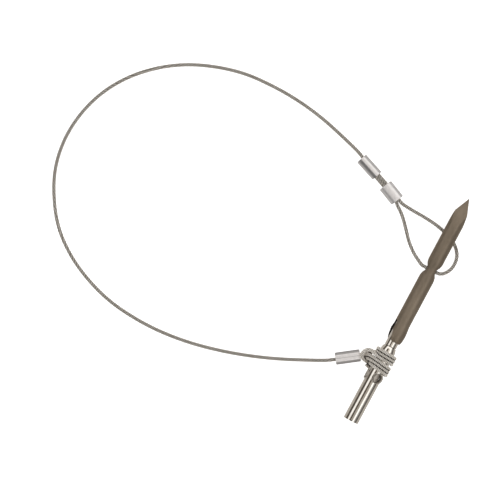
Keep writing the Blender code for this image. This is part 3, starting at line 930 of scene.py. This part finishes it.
def grindPoint(bm):
    for i in range(head["facets"]):
        angle = math.radians(head["facetAngle"]) + math.tau * i / head["facets"]
        normal = Vector((math.cos(angle), head["facetSlope"], math.sin(angle)))
        everything = bm.verts[:] + bm.edges[:] + bm.faces[:]
        tip = (0, head["length"], 0)
        bmesh.ops.bisect_plane(bm, geom=everything, plane_co=tip, plane_no=normal, clear_outer=True)
        bmesh.ops.edgeloop_fill(bm, edges=[edge for edge in bm.edges if edge.is_boundary])


def slotOutline():
    side = [(head["slotMouth"], -shaft["barRadius"])]
    steps = 12
    for i in range(steps + 1):
        share = i / steps
        widening = (head["slotMouth"] - head["slotHalfWidth"]) * math.sqrt(1 - share * share)
        side.append((head["slotHalfWidth"] + widening, head["slotMouthLength"] * share))
    for i in range(1, steps):
        angle = math.pi / 2 * i / steps
        y = head["slotLength"] - head["slotHalfWidth"] * (1 - math.sin(angle))
        side.append((head["slotHalfWidth"] * math.cos(angle), y))
    side.append((0, head["slotLength"]))
    return side + [(-x, y) for x, y in reversed(side[:-1])]


def makeHead():
    bm = turned(headProfile())
    bmesh.ops.recalc_face_normals(bm, faces=bm.faces)
    grindPoint(bm)
    made = meshObject("head", bm, ["satinHead", "wornEdge", "slotShade"])
    made.location = (0, shaft["tail"], shaft["height"])
    bpy.context.view_layer.update()
    reach = 2 * shaft["barRadius"]
    cutWith(made, prism(slotOutline(), reach), radial(head["slotAngle"], shaft["tail"], head["slotRoot"]))
    mouth = shaft["barRadius"] - waist["depth"]
    wide = head["holeRadius"] + head["holeFlare"]
    wider = wide + (reach - mouth) * head["holeFlare"] / head["holeFlareDepth"]
    profile = [(-reach, 0), (-reach, wider), (head["holeFlareDepth"] - mouth, head["holeRadius"])]
    profile += [(mouth - head["holeFlareDepth"], head["holeRadius"]), (reach, wider), (reach, 0)]
    across = Matrix.Translation((0, shaft["tail"] + waist["fromTail"], shaft["height"]))
    cutWith(made, turned(profile, head["holeSides"]), across @ Matrix.Rotation(math.pi / 2, 4, "Z"))
    easeEdges(made, head["edge"], 1)
    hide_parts("head_body")
    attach(made, "head")


makeHead()
print("head ground")

adapter = {
    "length": shaft["nose"] - shaft["rear"],
    "bore": 3.45 * mm,
    "mouthChamfer": 0.35 * mm,
    "threadPitch": 1.058 * mm,
    "threadDepth": 0.42 * mm,
    "threadLength": 24.0 * mm,
    "threadStart": 0.4 * mm,
    "threadSteps": 8,        # rings to each turn
    "flankSlope": 1.35,
    "rootFlat": 0.1,
    "noseLength": 3.6 * mm,
    "noseRadius": 3.95 * mm,
    "windowAngles": (65, 185, 305),
    "windowFromRear": 30.0 * mm,
    "windowHalfWidth": 2.65 * mm,
    "windowHalfLength": 2.85 * mm,
    "bossRim": 0.5 * mm,
    "bossHeight": 0.7 * mm,
    "bossFoot": 2.3 * mm,
    "windowSides": 64,
    "clearPast": 2 * mm,     # from the thread's end
    "clearShort": 8 * mm,    # from the nose
    "clearSkin": 0.01 * mm,
    "coilStart": 32.5 * mm,
    "segments": 96,
}


def adapterOutside():
    radius, chamfer = shaft["barRadius"], adapter["mouthChamfer"]
    noseStart = adapter["length"] - adapter["noseLength"]
    profile = [(0, radius - chamfer), (0.3 * chamfer, radius - 0.3 * chamfer), (chamfer, radius)]
    rings = 90
    for i in range(1, rings):
        profile.append((chamfer + (noseStart - chamfer) * i / rings, radius))
    steps = 14
    for i in range(steps + 1):
        share = i / steps
        drop = (radius - adapter["noseRadius"]) * (1 - math.cos(share * math.pi / 2))
        profile.append((noseStart + share * adapter["noseLength"], radius - drop))
    return profile


def threadedBore(bm):
    # rings down the bore, waved by a screw thread that fades out at both ends
    rings = []
    pitch, depth, length = adapter["threadPitch"], adapter["threadDepth"], adapter["threadLength"]
    start = adapter["mouthChamfer"] + adapter["threadStart"]
    count = round(length / pitch * adapter["threadSteps"])
    for i in range(count + 1):
        y = start + length * i / count
        fade = min(1, (y - start) / pitch, (start + length - y) / pitch)
        ring = []
        for j in range(adapter["segments"]):
            turn = j / adapter["segments"]
            wave = abs(2 * ((y / pitch - turn) % 1) - 1)
            flank = min(1, max(0, adapter["flankSlope"] * wave - adapter["rootFlat"]))
            radius = adapter["bore"] + depth * fade * flank
            angle = math.tau * turn
            ring.append(bm.verts.new((radius * math.cos(angle), y, radius * math.sin(angle))))
        rings.append(ring)
    return rings


def makeAdapter():
    bm = bmesh.new()
    outside = turnedRings(bm, adapterOutside(), adapter["segments"])
    noseBore = turnedRings(bm, [(adapter["length"], adapter["bore"])], adapter["segments"])
    mouth = turnedRings(bm, [(0, adapter["bore"] + adapter["mouthChamfer"])], adapter["segments"])
    inside = threadedBore(bm)
    joinRings(bm, outside + noseBore)
    joinRings(bm, noseBore + inside[::-1] + mouth, 1)
    joinRings(bm, mouth + outside[:1])
    made = meshObject("adapterTube", bm, ["brightSteel", "boreSteel"])
    made.location = (0, shaft["rear"], shaft["height"])
    bpy.context.view_layer.update()
    windowY = shaft["rear"] + adapter["windowFromRear"]
    rim, sides = adapter["bossRim"], adapter["windowSides"]
    outline = ellipse(adapter["windowHalfWidth"] + rim, adapter["windowHalfLength"] + rim, sides)
    window = ellipse(adapter["windowHalfWidth"], adapter["windowHalfLength"], sides)
    top = shaft["barRadius"] + adapter["bossHeight"]
    for degrees in adapter["windowAngles"]:
        boss = prism(outline, top, adapter["bossFoot"])
        cutWith(made, boss, radial(degrees, windowY), "UNION", ("boreSteel",))
    # the bosses' feet reach into the bore, so they are cleared from it
    start, stop = adapter["threadLength"] + adapter["clearPast"], adapter["length"] - adapter["clearShort"]
    radius = adapter["bore"] - adapter["clearSkin"]
    clear = [(start, 0), (start, radius), (stop, radius), (stop, 0)]
    place = Matrix.Translation((0, shaft["rear"], shaft["height"]))
    cutWith(made, turned(clear, adapter["segments"]), place, "DIFFERENCE", ("boreSteel",))
    radius, end = shaft["barRadius"], adapter["length"] + shaft["barRadius"]
    start = adapter["coilStart"]
    seat = [(start, radius), (end, radius), (end, 2 * radius), (start, 2 * radius)]
    cutWith(made, turned(seat, adapter["segments"], True), place, "DIFFERENCE", ("brightSteel",))
    for degrees in adapter["windowAngles"]:
        hole = prism(window, 2 * radius)
        cutWith(made, hole, radial(degrees, windowY), "DIFFERENCE", ("boreSteel",))
    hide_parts("adapter_tube")
    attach(made, "adapter")


pin = {
    "radius": (pinHigh.x - pinLow.x) / 2,
    "shank": 3.3 * mm,
    "neck": 1.0 * mm,       # the dark gap between the nose and the pin
    "chamfer": 0.8 * mm,
    "seatGap": 0.3 * mm,
    "edge": 0.12 * mm,
    "rings": 8,
}


def makePin():
    seat = shaft["nose"] + pin["seatGap"] - pinLow.y
    tip = pinHigh.y - pinLow.y
    profile = [(0, 0), (0, pin["shank"] - pin["chamfer"]), (pin["chamfer"], pin["shank"])]
    profile += [(seat - pin["neck"], pin["shank"]), (seat, pin["shank"])]
    edge = pin["edge"]
    profile += [(seat, pin["radius"] - edge), (seat + edge, pin["radius"])]
    for i in range(1, pin["rings"] + 1):
        y = seat + edge + (tip - seat - edge - pin["chamfer"]) * i / pin["rings"]
        profile.append((y, pin["radius"]))
    profile += [(tip, pin["radius"] - pin["chamfer"]), (tip, 0)]
    made = meshObject("pin", turned(profile), ["brightSteel", "shankSteel", "slotShade"])
    # the shank keeps its turned finish; the neck gets near-black painted shade for the gap
    for face in made.data.polygons:
        if face.center.y < seat - pin["neck"]:
            face.material_index = 1
        elif face.center.y < seat + 0.01 * mm:
            face.material_index = 2
    made.location = (0, pinLow.y, shaft["height"])
    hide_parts("mandrel_pin")
    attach(made, "adapter")


makeAdapter()
makePin()
print("adapter and pin turned")


# the pressed sleeves
sleeveShape = {
    "segments": 64,
    "rows": 16,
    "edge": 0.45 * mm,
    "mouth": 0.05 * mm,
    "boreDepth": 1.8 * mm,
    "boreGap": 0.06 * mm,
    "narrowest": 0.55,
    "hexCorner": 0.965,
}


def outerSection(name, segments):
    shape = sleeves[name]
    found = []
    for i in range(segments):
        angle = math.tau * i / segments
        if name == "hexSleeve":
            fromFlat = (angle + math.pi / 3) % (math.pi / 3) - math.pi / 6
            corner = sleeveShape["hexCorner"] * shape["halfWidth"] / math.cos(math.pi / 6)
            radius = min(shape["halfWidth"] / math.cos(fromFlat), corner)
            found.append((radius * math.cos(angle), radius * math.sin(angle)))
        else:
            found.append((shape["halfWidth"] * math.cos(angle), shape["halfHeight"] * math.sin(angle)))
    return found


def boreSection(name, segments):
    # the outline round two ropes that lie side by side
    shape = sleeves[name]
    across, up = shape.get("pair", (pairOffset, 0))
    middle = Vector((across, -up) if "pair" in shape else (across, 0))
    radius = rope["radius"] + sleeveShape["boreGap"]
    found = []
    for i in range(segments):
        angle = math.tau * i / segments
        ray = Vector((math.cos(angle), math.sin(angle)))
        best = 0
        for centre in (middle, -middle):
            along = centre.dot(ray)
            off = centre.length_squared - along * along
            if off < radius * radius:
                best = max(best, along + math.sqrt(radius * radius - off))
        found.append(tuple(ray * max(best, sleeveShape["narrowest"] * radius)))
    return found


def makeSleeve(name):
    place, length = sleeveFrame(name)
    segments, edge = sleeveShape["segments"], sleeveShape["edge"]
    outer, bore = outerSection(name, segments), boreSection(name, segments)
    half = length / 2
    stations = []
    for i in range(5):
        angle = math.pi / 2 * i / 4
        stations.append((half - edge * (1 - math.sin(math.pi / 2 - angle)), edge * (1 - math.sin(angle))))
    full = [(y, 0.0) for y in np.linspace(half - edge, edge - half, sleeveShape["rows"])[1:-1]]
    rows = stations + full + [(-y, drop) for y, drop in reversed(stations)]
    bm = bmesh.new()
    rings = []
    shrinkBy = max(z for _, z in outer)
    for y, drop in rows:
        scale = 1 - drop / shrinkBy
        rings.append([bm.verts.new((x * scale, y, z * scale)) for x, z in outer])
    mouth, bottom = half - sleeveShape["mouth"], half - sleeveShape["boreDepth"]
    for y in (-mouth, -bottom):
        rings.append([bm.verts.new((x, y, z)) for x, z in bore])
    for y in (mouth, bottom):
        rings.insert(0, [bm.verts.new((x, y, z)) for x, z in bore])
    joinRings(bm, rings)
    bm.faces.new(rings[0])
    bm.faces.new(rings[-1])
    made = meshObject(name, bm, [name])
    wide = max(x for x, _ in outer)
    # across places the painted highlight and shade bands; along places the press marks
    for key, values in (
        ("along", [v.co.y for v in made.data.vertices]),
        ("across", [0.5 + 0.5 * v.co.x / wide for v in made.data.vertices]),
    ):
        made.data.attributes.new(key, "FLOAT", "POINT").data.foreach_set("value", values)
    made.matrix_world = place
    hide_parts(sleeves[name]["node"])
    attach(made, "adapter" if name == "hexSleeve" else "head")


for sleeveName in sleeves:
    makeSleeve(sleeveName)
print("sleeves pressed")


# table and lights
studio = {
    "tableSize": 6.0,
    "tableColour": (0.93, 0.93, 0.93),
    "tableGlow": 0.85,
    "underDepth": 1 * mm,
    "cardStep": 1.05,    # the cards hang this much farther off than the panels
    "away": 1.0,
    "roomFill": 0.42,
    "panelLength": 2.4,
    # each as its angles left and right of upright, and how bright it looks
    "leftPanel": (-55, -29, 0.95),
    "rightPanel": (21, 46, 1.22),
    # and these with their two ends along the shaft too
    "overheadCard": (-25, -5, -0.24, 0.66, (0.13, 0.105, 0.08)),
    "middleCard": (-3, 17, -0.24, -0.05, (0.50, 0.47, 0.43)),
    "pinCard": (-3, 17, -0.05, 0.66, (0.95, 0.91, 0.86)),
    "leftCard": (-91, -60, -1.3, 1.3, (0.11, 0.095, 0.08)),
    "rightCard": (64, 96, -1.3, 1.3, (0.16, 0.15, 0.14)),
    "farCard": (-30, 22, 0.68, 1.5, (1.5, 1.47, 1.45)),
    "nearCard": (-28, 18, -1.3, -0.30, (0.10, 0.09, 0.08)),
    "underCard": (0.60, 0.575, 0.545),
}


def glowMaterial(name, colour, glow):
    made, _, shader = newMaterial(name)
    shader.inputs["Base Color"].default_value = (*colour, 1)
    shader.inputs["Roughness"].default_value = 0.9
    shader.inputs["Specular IOR Level"].default_value = 0.1
    shader.inputs["Emission Color"].default_value = (*colour, 1)
    shader.inputs["Emission Strength"].default_value = glow
    return made


def cardMaterial(name, colour):
    # paints nothing but its own even tone into the polished metal
    made, _, shader = newMaterial(name)
    shader.inputs["Base Color"].default_value = (0, 0, 0, 1)
    shader.inputs["Specular IOR Level"].default_value = 0
    shader.inputs["Emission Color"].default_value = (*colour, 1)
    shader.inputs["Emission Strength"].default_value = 1.0
    return made


def makePlane(name, width, length, place, material):
    bm = bmesh.new()
    for x, y in ((-1, -1), (1, -1), (1, 1), (-1, 1)):
        bm.verts.new((x * width / 2, y * length / 2, 0))
    bm.faces.new(bm.verts)
    mesh = bpy.data.meshes.new(name)
    bm.to_mesh(mesh)
    bm.free()
    mesh.materials.append(material)
    made = bpy.data.objects.new(name, mesh)
    bpy.context.scene.collection.objects.link(made)
    made.matrix_world = place
    return made


def onlyInGloss(card):
    for ray in ("camera", "diffuse", "shadow", "transmission", "volume_scatter"):
        setattr(card, "visible_" + ray, False)


def overShaft(low, high, away):
    # a flat that spans these angles, seen from the shaft
    middle, half = math.radians(low + high) / 2, math.radians(high - low) / 2
    out = Vector((math.sin(middle), 0, math.cos(middle)))
    place = Matrix.Translation(out * away + Vector((0, 0, shaft["height"]))) @ Matrix.Rotation(middle, 4, "Y")
    return place, 2 * away * math.tan(half)


def addPanel(name):
    low, high, bright = studio[name]
    place, width = overShaft(low, high, studio["away"])
    light = bpy.data.lights.new(name, "AREA")
    light.shape = "RECTANGLE"
    light.size = width
    light.size_y = studio["panelLength"]
    light.energy = bright * math.pi * width * studio["panelLength"]
    made = bpy.data.objects.new(name, light)
    bpy.context.scene.collection.objects.link(made)
    made.matrix_world = place
    made.visible_camera = False


def addCard(name):
    low, high, near, far, colour = studio[name]
    place, width = overShaft(low, high, studio["away"] * studio["cardStep"])
    place = Matrix.Translation((0, (near + far) / 2, 0)) @ place
    onlyInGloss(makePlane(name, width, far - near, place, cardMaterial(name, colour)))


def lightTable():
    size = studio["tableSize"]
    cloth = glowMaterial("table", studio["tableColour"], studio["tableGlow"])
    table = makePlane("table", size, size, Matrix.Identity(4), cloth)
    table.visible_glossy = False
    under = Matrix.Translation((0, 0, -studio["underDepth"]))
    onlyInGloss(makePlane("underCard", size, size, under, cardMaterial("underCard", studio["underCard"])))
    world = bpy.data.worlds.new("room")
    world.use_nodes = True
    background = world.node_tree.nodes["Background"]
    background.inputs["Color"].default_value = (1, 1, 1, 1)
    background.inputs["Strength"].default_value = studio["roomFill"]
    bpy.context.scene.world = world
    for name in ("leftPanel", "rightPanel"):
        addPanel(name)
    for name in ("overheadCard", "middleCard", "pinCard", "leftCard", "rightCard", "farCard", "nearCard"):
        addCard(name)
    bpy.context.scene.view_settings.view_transform = "Standard"


lightTable()
print("table lit")
